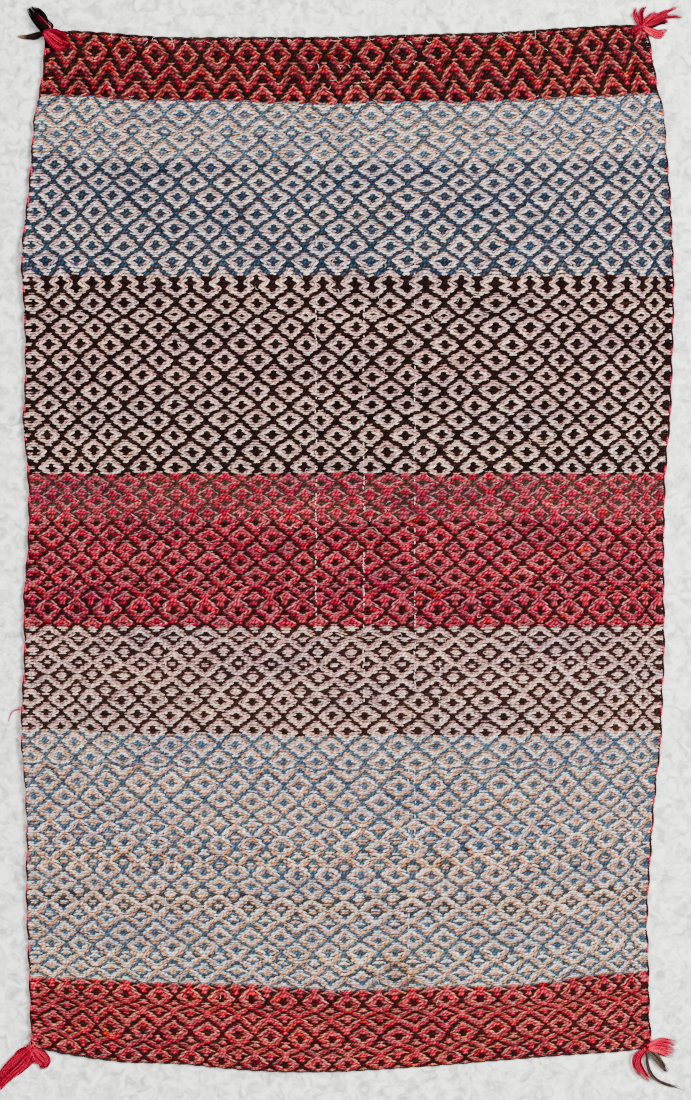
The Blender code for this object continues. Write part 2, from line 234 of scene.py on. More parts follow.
def in_scene(name, data):
    """A new object in the scene, for a mesh, a light or a camera."""
    thing = bpy.data.objects.new(name, data)
    bpy.context.scene.collection.objects.link(thing)
    return thing


def shown(name, mesh, material, node=None):
    """Puts a finished mesh into the scene and into the frame."""
    mesh.materials.append(material)
    thing = in_scene(name, mesh)
    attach(thing, "root")
    if node:
        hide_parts(node)
    return thing


def node_of(tree, kind, sockets, **settings):
    """A node of a material. Each socket is given a constant or the output that feeds it."""
    made = tree.nodes.new("ShaderNode" + kind)
    for name, value in settings.items():
        setattr(made, name, value)
    for name, value in sockets.items():
        if isinstance(value, bpy.types.NodeSocket):
            tree.links.new(value, made.inputs[name])
        else:
            made.inputs[name].default_value = value
    return made


def matt(name, roughness):
    """A new material of this roughness, its nodes and its shader."""
    made = bpy.data.materials.new(name)
    made.use_nodes = True
    shader = made.node_tree.nodes["Principled BSDF"]
    shader.inputs["Roughness"].default_value = roughness
    return made, made.node_tree, shader


def wool(name, twist_length, twist_depth, heather):
    """Spun wool: its own vertex colour, mottled where fibres of other shades were carded in, with the
    slanting lines of its twist painted dark and light as shade and highlight, and a fine fuzz."""
    made, tree, shader = matt(name, WOOL_ROUGHNESS)
    shader.inputs["Specular IOR Level"].default_value = WOOL_SHEEN

    def ranged(source, low, high):
        """A texture's value brought between two brightnesses."""
        sockets = {"Value": source, **TEXTURE_ENDS, "To Min": low, "To Max": high}
        return node_of(tree, "MapRange", sockets).outputs["Result"]

    def both(operation, first, second):
        """Two values multiplied or added."""
        return node_of(tree, "Math", {0: first, 1: second}, operation=operation).outputs["Value"]

    colour = node_of(tree, "Attribute", {}, attribute_name="wool_colour").outputs["Color"]
    on_yarn = node_of(tree, "UVMap", {}, uv_map="yarn").outputs["UV"]
    in_cloth = node_of(tree, "TexCoord", {}).outputs["Object"]
    # The lines of the twist run aslant round the yarn
    slanting = node_of(tree, "Mapping", {
        "Vector": on_yarn,
        "Scale": (1 / twist_length, 0.5, 1.0),
        "Rotation": (0.0, 0.0, math.radians(TWIST_SLANT)),
    })
    twist_sockets = {
        "Vector": slanting.outputs["Vector"],
        "Scale": 2 * math.pi / WAVE_TEXTURE_TURN,
        "Distortion": 1.5,
        "Detail": 2.0,
        "Detail Scale": 1.6,
    }
    wave = {"wave_type": "BANDS", "bands_direction": "X", "wave_profile": "SIN"}
    twist = node_of(tree, "TexWave", twist_sockets, **wave).outputs["Fac"]
    drawn_out = node_of(tree, "Mapping", {"Vector": on_yarn, "Scale": (0.7, 3.4, 1.0)})
    fibre_sockets = {"Vector": drawn_out.outputs["Vector"], "Scale": 1.0, "Detail": 4.0, "Roughness": 0.7}
    fibres = node_of(tree, "TexNoise", fibre_sockets).outputs["Fac"]
    mottle = node_of(tree, "TexNoise", {"Vector": in_cloth, "Scale": 330.0, "Detail": 3.0}).outputs["Fac"]
    # The twist's lines are painted onto the wool's colour as shade and highlight, besides the bump below
    lines = both("MULTIPLY", ranged(fibres, 1 - heather, 1 + heather), ranged(twist, *TWIST_PAINTED_SHADING))
    brightness = both("MULTIPLY", lines, ranged(mottle, 1 - heather, 1 + heather))
    scaled = node_of(tree, "VectorMath", {0: colour, "Scale": brightness}, operation="SCALE")
    # Nothing shines brighter than clean white wool
    whitest = {0: scaled.outputs["Vector"], 1: CLEAN_WHITE}
    held = node_of(tree, "VectorMath", whitest, operation="MINIMUM")
    tree.links.new(held.outputs["Vector"], shader.inputs["Base Color"])
    relief = {"Strength": 0.7, "Distance": twist_depth * MM, "Height": both("ADD", twist, fibres)}
    tree.links.new(node_of(tree, "Bump", relief).outputs["Normal"], shader.inputs["Normal"])
    return made


def cloth_body():
    """Two grids a cloth's thickness apart, joined round their rims, in millimetres."""
    inset = EDGE_TO_CLOTH + EDGE_ROUNDING
    rows, columns = range(GROUND_ROWS + 1), range(GROUND_COLUMNS + 1)
    left, right = ([side_point(side, n / GROUND_ROWS, inset) for n in rows] for side in ("left", "right"))
    bottom, top = ([end_point(end, n / GROUND_COLUMNS, inset) for n in columns] for end in ("bottom", "top"))
    met = {(end, side): corner(end, side, inset) for end in ("top", "bottom") for side in ("left", "right")}
    shape = bmesh.new()
    for upper in (True, False):
        made = bmesh.ops.create_grid(shape, x_segments=GROUND_COLUMNS, y_segments=GROUND_ROWS, size=1.0)
        for vert in made["verts"]:
            across, along = (vert.co.x + 1) / 2, (vert.co.y + 1) / 2
            row, column = round(along * GROUND_ROWS), round(across * GROUND_COLUMNS)
            sides = left[row] * (1 - across) + right[row] * across
            ends = bottom[column] * (1 - along) + top[column] * along
            low = met["bottom", "left"] * (1 - across) + met["bottom", "right"] * across
            high = met["top", "left"] * (1 - across) + met["top", "right"] * across
            x, y = sides + ends - (low * (1 - along) + high * along)
            vert.co = (x, y, top_at(x, y) - GROUND_DEPTH if upper else lift_at(x, y) + GROUND_LIFT)
    rims = [edge for edge in shape.edges if len(edge.link_faces) == 1]
    bmesh.ops.bridge_loops(shape, edges=rims)
    bmesh.ops.recalc_face_normals(shape, faces=shape.faces)
    mesh = bpy.data.meshes.new("cloth_body")
    shape.to_mesh(mesh)
    shape.free()
    return mesh


body = cloth_body()
body_places = places_of(body)
# The body is all one dark brown, which paints shade into the gaps between the floats
point_colours(body, np.tile(srgb(*GROUND_AND_GAP_SHADE_COLOUR), (len(body_places), 1)))
yarn_map(body, body_places[:, 0], body_places[:, 1])
body.vertices.foreach_set("co", in_frame(body_places).astype(np.float32).ravel())
body.update()
flat_map(body)
cloth = shown("cloth_body", body, wool("ground_wool_and_gap_shade", 3.0, 0.5, 0.3), "blanket_cloth")

# The seven bands of weft: soft wool yarns that float over a warp or more and dive under the next. The wools
# are natural brown-black, creams and tans, carded pinks, indigo blue and crimson. Three wefts follow each
# other in turn, beaten down on the warps, and the outermost floats of a pick loop over the side cords.

# Every pick bows a little: how far it rises over its place a third of the way across, which is the place
# that the draft gives. The share across runs from the left edge to the right one.
BOW_SHARES = (0.0, 0.25, 0.5, 0.75, 1.0)
PICK_BOWS = (
    # along, then the rise at each share
    (-645, 30, 8, -2, 12, 27),
    (-541, 10, 4, -5, 0, 18),
    (-230, 7, 2, 0, 0, 6),
    (-97, 1, 0, 0, 0, 1),
    (90, 0, 0, 0, 0, 0),
    (339, 0, 0, 0, 0, 0),
    (546, 10, 3, 0, 3, 12),
    (632, 5, -1, 1, 7, 15),
)
END_BOWS = (
    # end, its edge where the draft gives it, its pick's left and width, how far into the cloth its bow goes
    ("top", 632, -379, 752, 80),
    ("bottom", -645, -392, 769, -80),
)
END_SHARES = np.linspace(0, 1, 41)
END_CURVES = [
    np.array([smooth_read(END_EDGES, COLUMN_OF[end], left + width * share) - edge for share in END_SHARES])
    for end, edge, left, width, reach in END_BOWS
]
EDGE_STEPS = np.arange(-660.0, 661.0, 2.0)
LEFT_EDGE = np.array([smooth_read(SIDE_EDGES, COLUMN_OF["left"], y) for y in EDGE_STEPS])
RIGHT_EDGE = np.array([smooth_read(SIDE_EDGES, COLUMN_OF["right"], y) for y in EDGE_STEPS])
# The slow unevenness of handwork: size, lengths across and along, and start. It dies away within
# STEADY_REACH of the sides and of the ends at STEADY_AT.
WANDERS = (
    (0.9, 210, 97, 0.3),
    (0.7, -83, 141, 2.2),
    (0.5, 47, 61, 4.0),
)
STEADY_AT = (-645, 638)
STEADY_REACH = 60


def sides_at(y):
    """Where the left and the right edge lie."""
    return np.interp(y, EDGE_STEPS, LEFT_EDGE), np.interp(y, EDGE_STEPS, RIGHT_EDGE)


def cloth_place(share, along):
    """Where a warp, given as its share across, meets a pick, given by its place along. Both are arrays."""
    bows = np.array(PICK_BOWS, float)
    rise = 0.0
    for k, at in enumerate(BOW_SHARES):
        near = np.clip(1 - np.abs(share - at) * (len(BOW_SHARES) - 1), 0, 1)
        rise = rise + np.interp(along, bows[:, 0], bows[:, k + 1]) * near * near * (3 - 2 * near)
    for (_, edge, _, _, reach), curve in zip(END_BOWS, END_CURVES):
        near = np.clip((along - edge) / reach + 1, 0, 1)
        rise = rise * (1 - near) + np.interp(share, END_SHARES, curve) * near
    y = along + rise
    left, right = sides_at(y)
    x = left + (right - left) * share
    inside = np.clip(np.minimum(x - left, right - x) / STEADY_REACH, 0, 1)
    ends = np.clip(np.minimum(STEADY_AT[1] - y, y - STEADY_AT[0]) / STEADY_REACH, 0, 1)
    for size, length_across, length_along, start in WANDERS:
        turn = 2 * math.pi * (x / length_across + y / length_along) + start
        x = x + size * np.sin(turn) * inside
        y = y + size * np.cos(turn) * inside * ends
    return x, y


# The draft of the weave. The warps are threaded to a point, eight to a repeat, and the treadling runs up and
# down the same points, so that each change of direction leaves a diamond: on the first point of the threading
# where the shed falls back and on its middle where it climbs back.
THREADING = (0, 1, 2, 3, 4, 3, 2, 1)
SHEDS = 4
# Where each first point of the threading lies, across, at the height POINTS_MEASURED_AT
POINTS_MEASURED_AT = 259
THREADING_POINTS = (
    -368.1, -331.0, -293.8, -252.4, -212.0, -170.9, -130.2, -90.1, -50.0, -10.0,
    31.1, 75.2, 120.1, 160.2, 205.0, 246.7, 284.4, 324.5, 363.2, 393.8,
)
WARPS_BEFORE_FIRST_POINT = 5
EDGE_WARP_PITCH = 4.9
FIRST_TURN_SHED = 2
FIRST_PICK_AT = 629.6
LAST_PICK_AT = -642.4
PICKS_AFTER_LAST_TURN = 8
TREADLING = (
    # picks since the turn before, place along
    (12, 607.7), (27, 552.5), (15, 532.8), (18, 511.5), (6, 503.5), (15, 486.2), (15, 467.1),
    (15, 449.3), (15, 432.6), (15, 411.0), (15, 393.8), (15, 371.6), (15, 354.9), (15, 327.4),
    (3, 321.5), (15, 302.3), (12, 286.8), (12, 272.3), (15, 251.1), (15, 232.5), (15, 212.2),
    (15, 194.8), (15, 175.7), (15, 159.1), (15, 139.3), (15, 120.2), (15, 99.2), (15, 81.4),
    (11, 66.0), (7, 56.4), (11, 42.7), (7, 31.3), (15, 13.3), (12, -2.2), (12, -17.8),
    (15, -35.7), (8, -47.6), (12, -63.2), (7, -77.5), (12, -93.0), (13, -110.2), (14, -128.1),
    (12, -143.6), (12, -159.2), (15, -177.7), (9, -190.3), (15, -207.6), (15, -226.2), (15, -244.7),
    (15, -263.8), (23, -293.7), (15, -314.7), (15, -330.7), (11, -344.3), (8, -357.4), (8, -368.5),
    (8, -381.3), (7, -392.4), (6, -404.1), (15, -418.9), (9, -430.7), (12, -445.5), (11, -461.5),
    (16, -481.1), (15, -495.9), (8, -510.6), (12, -525.4), (11, -538.0), (7, -546.7), (7, -559.6),
    (8, -569.5), (12, -579.4), (19, -602.8), (8, -615.8), (12, -626.3), (7, -636.1),
)


def sheds_of(treadling):
    """The shed of every pick, and the picks at which the treadling turns."""
    turns = np.cumsum([row[0] for row in treadling])
    passed = np.searchsorted(turns, np.arange(turns[-1] + PICKS_AFTER_LAST_TURN - 1), side="right")
    sheds = np.concatenate([[0], np.cumsum(np.where(passed % 2 == 1, 1, -1))])
    return sheds - sheds[turns[0]] + FIRST_TURN_SHED, turns


def warp_shares():
    """The share across of each warp's two sides, and how many warps there are."""
    repeat = len(THREADING)
    warps = WARPS_BEFORE_FIRST_POINT + repeat * (len(THREADING_POINTS) - 1) + 1
    points_at = np.arange(len(THREADING_POINTS)) * repeat
    middles = np.interp(np.arange(warps) - WARPS_BEFORE_FIRST_POINT, points_at, THREADING_POINTS)
    for n in range(WARPS_BEFORE_FIRST_POINT):
        middles[n] = THREADING_POINTS[0] - EDGE_WARP_PITCH * (WARPS_BEFORE_FIRST_POINT - n)
    outermost = [middles[0] - EDGE_WARP_PITCH / 2], [middles[-1] + EDGE_WARP_PITCH / 2]
    sides = np.concatenate([outermost[0], (middles[1:] + middles[:-1]) / 2, outermost[1]])
    return (sides - LEFT_THERE) / WIDTH_THERE, warps


LEFT_THERE, RIGHT_THERE = sides_at(POINTS_MEASURED_AT)
WIDTH_THERE = RIGHT_THERE - LEFT_THERE
WARP_SIDES, WARPS = warp_shares()
SHEDS_OF_PICKS, TURN_PICKS = sheds_of(TREADLING)
PICKS = len(SHEDS_OF_PICKS)
PICKS_ALONG = np.interp(
    np.arange(PICKS),
    np.concatenate([[0], TURN_PICKS, [PICKS - 1]]),
    np.array([FIRST_PICK_AT, *(row[1] for row in TREADLING), LAST_PICK_AT]),
)
WOOLS = {
    # name: red, green, blue on a screen, and its thickness beside the others
    "deep_black": (26, 6, 5, 1.5),
    "black": (20, 8, 7, 1.8),
    "soft_black": (42, 10, 10, 1.2),
    "brown_black": (40, 22, 18, 1.2),
    "slate": (58, 66, 70, 1.2),
    "grey_brown": (62, 40, 34, 1.1),
    "deep_red": (126, 2, 34, 1.25),
    "crimson": (158, 2, 48, 1.5),
    "red": (168, 4, 46, 1.4),
    "cherry": (162, 2, 44, 1.0),
    "scarlet": (190, 2, 52, 1.0),
    "jet": (14, 9, 8, 1.0),
    "umber": (74, 58, 50, 1.0),
    "dull_salmon": (164, 78, 64, 0.75),
    "salmon": (198, 102, 88, 0.78),
    "thin_pink": (192, 104, 114, 0.5),
    "blue": (32, 50, 66, 1.64),
    "pale_blue": (64, 88, 106, 1.26),
    "white": (255, 248, 246, 0.94),
    "cream": (250, 218, 204, 0.88),
    "pink": (202, 150, 142, 0.8),
    "grey_pink": (206, 168, 166, 0.8),
    "tan": (222, 168, 136, 0.9),
    "gold_tan": (220, 158, 120, 1.0),
    "cord_brown": (40, 24, 22, 1.0),
}
WEFT_SPANS = (
    # band, along at its top, its wefts in turn going down, and whether their turn begins anew
    (1, 640, ("deep_black", "dull_salmon", "deep_red"), False),
    (2, 549, ("pale_blue", "tan", "white"), False),
    (2, 478, ("blue", "grey_pink", "white"), False),
    (3, 338, ("black", "pink", "cream"), False),
    (4, 91, ("grey_brown", "thin_pink", "crimson"), False),
    (4, 35, ("soft_black", "thin_pink", "crimson"), False),
    (5, -97, ("brown_black", "pink", "cream"), False),
    (6, -231, ("pale_blue", "tan", "white"), False),
    (6, -274, ("pale_blue", "white", "gold_tan"), True),
    (6, -430, ("slate", "white", "gold_tan"), False),
    (6, -452, ("pale_blue", "white", "gold_tan"), False),
    (7, -541, ("soft_black", "salmon", "red"), False),
)
# The turn of the treadling at which it begins anew
RESTART_TURN = 50
# Floats of a warp's column, to either side of one, that share its room: six make a turn of wefts and sheds
ROOM_REACH = 3
# How fully the floats even themselves out
EVENNESS = 0.9
# How much further a thick yarn spreads on the points of the threading than elsewhere, which rounds the rings
POINT_SPREAD = 0.6


def wefts_of(pick_places):
    """The wool of every pick and the band that it belongs to."""
    names, bands = [], np.zeros(PICKS, int)
    began = 0
    for pick in range(PICKS):
        span = next(n for n in reversed(range(len(WEFT_SPANS))) if pick_places[pick] <= WEFT_SPANS[n][1])
        band, _, wefts, anew = WEFT_SPANS[span]
        if anew:
            began = int(TURN_PICKS[RESTART_TURN]) % len(wefts)
        names.append(wefts[(pick - began) % len(wefts)])
        bands[pick] = band
    return names, bands


WEFT_WOOLS, WEFT_BANDS = wefts_of(PICKS_ALONG)
COLOURS = {name: srgb(*row[:3]) for name, row in WOOLS.items()}


def spread_picks():
    """Where each pick lies in each warp's column, in picks, and half the height that it has there.

    The picks that pass behind a warp make room, and those that pass over it spread into the room, a thick
    yarn further than a thin one.
    """
    threads = np.array([THREADING[(n - WARPS_BEFORE_FIRST_POINT) % len(THREADING)] for n in range(WARPS)])
    on_point = np.cos(2 * math.pi * threads / SHEDS)
    thick = np.array([WOOLS[name][3] for name in WEFT_WOOLS])[:, None] ** (1 + POINT_SPREAD * on_point)
    over = (threads - SHEDS_OF_PICKS[:, None]) % SHEDS >= SHEDS // 2
    place, half = np.full(over.shape, np.nan), np.full(over.shape, np.nan)
    window = 2 * ROOM_REACH
    share = np.array([0.5, *[1.0] * (window - 1), 0.5]) / window
    for warp in range(WARPS):
        seen = np.nonzero(over[:, warp])[0]
        takes = thick[seen, warp]
        room = np.cumsum(takes) - takes / 2
        at = np.pad(seen.astype(float), ROOM_REACH, "reflect", reflect_type="odd")
        taken = np.pad(room, ROOM_REACH, "reflect", reflect_type="odd")
        rate = (at[window:] - at[:-window]) / (taken[window:] - taken[:-window])
        spread = np.convolve(at, share, "valid") + (room - np.convolve(taken, share, "valid")) * rate
        place[seen, warp] = spread * EVENNESS + seen * (1 - EVENNESS)
        half[seen, warp] = takes / 2 * rate
    return over, place, half


OVER, PLACE_IN_WARP, HALF_HEIGHT = spread_picks()
FLOAT_STEPS = 4
FLOAT_HEIGHT = 1.9
# How deep the foot of a float lies in the body, and how far a float dips at its ends and at its sides
FLOAT_FOOT = 0.4
END_DIP = 0.7
SIDE_DIP = 0.8
# How much narrower a float is at its ends
END_NARROWING = 0.34
LEAST_HALF_HEIGHT = 0.5
FLOAT_REACH = (
    # warps under the float, and how far it bulges past them in warps: a short float more than a long one
    (1, 0.55),
    (2, 0.14),
    (3, 0.02),
    (5, -0.1),
)
# How far the outermost floats reach past the last warp, over the cord, in warps
CORD_REACH = (0.6, 1.05)
# How near to the edge a float may come, and how far from it and how deep the floats roll down over the cord
EDGE_MARGIN = 0.9
EDGE_DROP_REACH = 3.2
EDGE_DROP = 2.4
# How much of its room a float fills, the least bit more than all of it
ROOM_TAKEN = 1.06
# How unevenly the floats reach past their warps, in warps, and lie and are edged, in picks
REACH_UNEVEN = 0.12
PICK_UNEVEN = 0.16
RAGGED = 0.18
# How unevenly thick, high and bright the floats are, and how unevenly bright the picks, as parts of the whole
THICKNESS_UNEVEN = 0.12
HEIGHT_UNEVEN = 0.06
SHADE_SPREAD = 0.17
PICK_SHADE_SPREAD = 0.05
# Painted shade and highlight on each float: how bright it is painted at its foot, where shade falls between
# the floats, and how much brighter on its crown, where it is painted as if lit
FOOT_PAINTED_SHADE = 0.04
CROWN_PAINTED_HIGHLIGHT = 1.12
# How unevenly bright the corners of a float are, which all the floats of a band share, and its limits
BLOTCHED = 0.27
BLOTCH_LIMITS = (0.4, 1.7)
# How much wool of the colour CARDED_IN is carded in, at most, and the least part of that in a dark wool
CARDED = 0.22
MOST_CARDED = 0.7
CARDED_INTO_DARK = 0.02
CARDED_IN = np.array(srgb(204, 148, 130))
# How unevenly the dye took, and its limits
DYE_UNEVEN = 0.1
DYE_LIMITS = (0.1, 2.2)
# How far the shade wanders over the cloth: size, lengths across and along, start. WARMTH is how far each of
# red, green and blue goes with it.
TINT_WANDERS = (
    (0.05, 430, 130, 0.4),
    (0.06, -260, 71, 2.6),
    (0.03, 140, 33, 4.4),
    (0.03, -90, 17, 1.1),
)
WARMTH = np.array([1.3, 0.9, 0.1])
# Where a new lot of dyed or carded wool was begun: middle along, reach along, and its red, green and blue
# beside those of the wool before
DYE_LOTS = (
    (230, 48, 0.97, 0.92, 0.96),
    (122, 20, 1.05, 1.05, 1.0),
    (72, 14, 0.85, 1.0, 0.98),
    (-62, 22, 0.92, 0.8, 0.9),
    (-130, 28, 0.96, 0.91, 0.95),
    (-384, 12, 1.0, 0.93, 0.84),
    (-505, 24, 1.0, 1.03, 0.98),
)
STAINS = (
    # across, along, reach across, reach along, and how much of the red, green and blue it takes
    (60, -520, 24, 26, 0.4, 0.45, 0.5),
    (40, 4, 26, 22, 0.3, 0.3, 0.3),
    (52, 150, 60, 190, 0.08, 0.08, 0.08),
    (213, 34, 37, 10, 0.4, 0.3, 0.3),
    (65, 59, 32, 10, 0.4, 0.3, 0.3),
    (-240, 466, 150, 9, 0.3, 0.25, 0.2),
    (114, -391, 30, 9, 0.1, 0.3, 0.5),
    (77, -527, 14, 24, 0.1, 0.3, 0.45),
)
# How sharply a stain ends
STAIN_SHARPNESS = 1.5
# Half the width of a float on the yarn's map, and how far apart on the yarn two floats may be taken from
HALF_WIDTH_ON_MAP = 1.6
YARN_LENGTH = 400


def float_template():
    """The corners of one float, along and across, each from -1 to 1, and its faces."""
    shape = bmesh.new()
    bmesh.ops.create_grid(shape, x_segments=FLOAT_STEPS, y_segments=2, size=1.0)
    spots = np.array([vert.co.xy for vert in shape.verts])
    faces = np.array([[vert.index for vert in face.verts] for face in shape.faces])
    shape.free()
    return spots[:, 0], spots[:, 1], faces


def float_runs():
    """Every float as pick, first warp and one past its last warp."""
    change = np.diff(np.pad(OVER.astype(int), ((0, 0), (1, 1))), axis=1)
    picks, starts = np.nonzero(change == 1)
    return np.stack([picks, starts, np.nonzero(change == -1)[1]], axis=1)


def uneven(spread, floats):
    """An amount for each float, drawn about nought."""
    return chance.normal(0, spread, (len(floats), 1))


def lay_floats(floats):
    """Where the corners of the floats lie, and how far each corner of a float bulges, up to 1."""
    pick, first, last = floats[:, 0:1], floats[:, 1:2], floats[:, 2:3]
    reach = np.interp(last - first, *zip(*FLOAT_REACH)) + chance.normal(0, REACH_UNEVEN, (len(floats), 2))
    over_cord = chance.uniform(*CORD_REACH, (len(floats), 1))
    start = np.where(first == 0, -over_cord, first - reach[:, :1])
    stop = np.where(last == WARPS, WARPS + over_cord, last + reach[:, 1:])
    at_warp = start + (along_float + 1) / 2 * (stop - start)
    lower = np.clip(np.floor(at_warp - 0.5).astype(int), first, np.maximum(first, last - 2))
    upper = np.minimum(lower + 1, last - 1)
    part = at_warp - 0.5 - lower
    row_low, row_high = PLACE_IN_WARP[pick, lower], PLACE_IN_WARP[pick, upper]
    at_row = row_low + (row_high - row_low) * part
    half_low, half_high = HALF_HEIGHT[pick, lower], HALF_HEIGHT[pick, upper]
    half = half_low + (half_high - half_low) * np.clip(part, 0, 1)
    half = np.maximum(half, LEAST_HALF_HEIGHT) * (1 + uneven(THICKNESS_UNEVEN, floats))
    at_row = at_row + uneven(PICK_UNEVEN, floats)
    narrowing = 1 - END_NARROWING * np.abs(along_float) ** 5
    edge_row = at_row - across_float * half * narrowing * ROOM_TAKEN
    edge_row = edge_row + chance.normal(0, RAGGED, edge_row.shape)
    along = np.interp(edge_row, np.arange(PICKS), PICKS_ALONG)
    x, y = cloth_place(np.interp(at_warp, WARP_NUMBERS, WARP_PLACES), along)
    bulge = (1 - END_DIP * np.abs(along_float) ** 3) * (1 - SIDE_DIP * across_float**2)
    height = FLOAT_HEIGHT * bulge * (1 + uneven(HEIGHT_UNEVEN, floats))
    left, right = sides_at(y)
    drop = EDGE_DROP * np.clip(1 - np.minimum(x - left, right - x) / EDGE_DROP_REACH, 0, 1) ** 2
    return x, y, top_at(x, y) - GROUND_DEPTH - FLOAT_FOOT + height - drop, bulge


def spin_floats(floats, bulge):
    """Each corner's colour as spun and dyed, with painted shade at a float's foot and highlight on its crown.
    """
    shade = pick_shade[floats[:, 0:1]] * (1 + uneven(SHADE_SPREAD, floats))
    own = weft_colours[floats[:, 0]]
    grey = own.mean(1, keepdims=True)
    own = grey + (own - grey) * np.clip(1 + uneven(DYE_UNEVEN, floats), *DYE_LIMITS)
    mixed = np.clip(np.abs(uneven(CARDED, floats)), 0, MOST_CARDED)
    mixed = mixed * np.clip(own.mean(1, keepdims=True) * 2, CARDED_INTO_DARK, 1)
    own = own * (1 - mixed) + CARDED_IN * mixed
    blotches = np.clip(1 + chance.normal(0, BLOTCHED, len(bulge)), *BLOTCH_LIMITS)
    # Painted shade and highlight: each corner is darker towards the float's foot and brighter on its crown
    return own[:, None, :] * (shade * (FOOT_PAINTED_SHADE + CROWN_PAINTED_HIGHLIGHT * bulge) * blotches)[:, :, None]


def age_floats(tint, x, y):
    """The colours as they are now: the shade wanders, new lots of wool begin, and the cloth is stained."""
    tint = tint * (1 + ripples(TINT_WANDERS, x, y)[:, :, None] * WARMTH)
    for middle, reach, *lot in DYE_LOTS:
        near = np.exp(-((y - middle) / reach) ** 4)
        tint = tint * (1 + near[:, :, None] * (np.array(lot) - 1))
    for stain_x, stain_y, reach_x, reach_y, *taken in STAINS:
        far = ((x - stain_x) / reach_x) ** 2 + ((y - stain_y) / reach_y) ** 2
        tint = tint * (1 - np.exp(-far * STAIN_SHARPNESS)[:, :, None] * np.array(taken))
    return np.clip(tint.reshape(-1, 3), 0, 1)


def array_mesh(name, points, faces):
    """A smooth mesh from arrays: points in millimetres and faces that all have one number of corners."""
    mesh = bpy.data.meshes.new(name)
    points = in_frame(points.reshape(-1, 3))
    mesh.vertices.add(len(points))
    mesh.vertices.foreach_set("co", points.astype(np.float32).ravel())
    mesh.loops.add(faces.size)
    mesh.loops.foreach_set("vertex_index", faces.astype(np.int32).ravel())
    mesh.polygons.add(len(faces))
    mesh.polygons.foreach_set("loop_start", np.arange(0, faces.size, faces.shape[1], dtype=np.int32))
    mesh.update(calc_edges=True)
    mesh.shade_smooth()
    return mesh


along_float, across_float, float_faces = float_template()
weft_colours = np.array([COLOURS[name] for name in WEFT_WOOLS])
runs = float_runs()
chance = np.random.default_rng(20)
weft_wool = wool("weft_wool", 3.8, 0.8, 0.4)
pick_shade = 1 + chance.normal(0, PICK_SHADE_SPREAD, PICKS)
WARP_NUMBERS = np.arange(-1, WARPS + 2, dtype=float)
WARP_PLACES = np.concatenate([[EDGE_MARGIN / WIDTH_THERE], WARP_SIDES, [1 - EDGE_MARGIN / WIDTH_THERE]])

for band in sorted({row[0] for row in WEFT_SPANS}):
    floats = runs[WEFT_BANDS[runs[:, 0]] == band]
    x, y, level, bulge = lay_floats(floats)
    first_corners = np.arange(len(floats))[:, None, None] * len(along_float)
    faces = (float_faces + first_corners).reshape(-1, 4)
    mesh = array_mesh(f"weft_band_{band}", np.stack([x, y, level], axis=2), faces)
    point_colours(mesh, age_floats(spin_floats(floats, bulge), x, y))
    offset = chance.uniform(0, YARN_LENGTH, (len(floats), 1))
    yarn_map(mesh, x + offset, across_float * HALF_WIDTH_ON_MAP + offset)
    flat_map(mesh)
    shown(f"weft_band_{band}", mesh, weft_wool)

# The cords along the edges: two plies of wool laid round each other, red and dark along the sides, and both
# dark along the ends. The side cords are woven in, so that the wefts loop over them.
CORD_TWIST_LENGTH = 37.0
PLY_RADII = {
    # wool: the ply's radius, and how much of that it has only where it comes up
    "red": (1.75, 0.8),
    "soft_black": (1.5, 0.0),
    "cord_brown": (1.3, 0.0),
}
PLY_OFFSET = 1.0
PLY_SIDES = 8
PLY_SPACING = 2.2
CORDS = (
    # edge, how a place on it is found, steps along it, and its two plies
    ("left", side_point, 34, ("red", "soft_black")),
    ("right", side_point, 34, ("red", "soft_black")),
    ("top", end_point, 20, ("cord_brown", "cord_brown")),
    ("bottom", end_point, 20, ("cord_brown", "cord_brown")),
)
# How far short of the corner each cord stops, inside the tassel's knot
CORD_TRIM = 2.0
# Points of a tube's end that lie nearer to each other than this, in metres, are one
POLE_DISTANCE = 1e-6
# A direction is never divided by less than this
SHORTEST_STEP = 1e-9
# How far apart on the yarn's map the tubes of one piece begin
NEXT_YARN = 17.0


@functools.cache
def tube_faces(steps, sides):
    """The faces of a tube: a grid of steps by sides whose last column is joined to its first."""
    shape = bmesh.new()
    bmesh.ops.create_grid(shape, x_segments=steps, y_segments=sides, size=1.0)
    rings = [round((vert.co.x + 1) / 2 * steps) for vert in shape.verts]
    rounds = [round((vert.co.y + 1) / 2 * sides) % sides for vert in shape.verts]
    faces = [[rings[vert.index] * sides + rounds[vert.index] for vert in face.verts] for face in shape.faces]
    shape.free()
    return np.array(faces)


def lengths_along(line):
    """How far along a line each of its points lies."""
    return np.concatenate([[0], np.cumsum(np.linalg.norm(np.diff(line, axis=0), axis=1))])


def tube(centres, radii, sides=PLY_SIDES):
    """Points and faces of a tube along centres, drawn in to a point at both ends, and its yarn map."""
    centres = np.asarray(centres, float)
    radii = np.broadcast_to(np.asarray(radii, float), (len(centres),)).copy()
    radii[0] = radii[-1] = 0.0
    ahead = np.gradient(centres, axis=0)
    ahead /= np.maximum(np.linalg.norm(ahead, axis=1, keepdims=True), SHORTEST_STEP)
    aside = np.cross(ahead, (0.0, 0.0, 1.0))
    aside /= np.maximum(np.linalg.norm(aside, axis=1, keepdims=True), SHORTEST_STEP)
    above = np.cross(aside, ahead)
    angles = np.arange(sides) * 2 * math.pi / sides
    cosine, sine = np.cos(angles)[None, :, None], np.sin(angles)[None, :, None]
    ring = cosine * aside[:, None, :] + sine * above[:, None, :]
    points = centres[:, None, :] + ring * radii[:, None, None]
    lengths, rounds = np.repeat(lengths_along(centres), sides), np.tile(angles, len(centres))
    return points.reshape(-1, 3), tube_faces(len(centres) - 1, sides), lengths, rounds


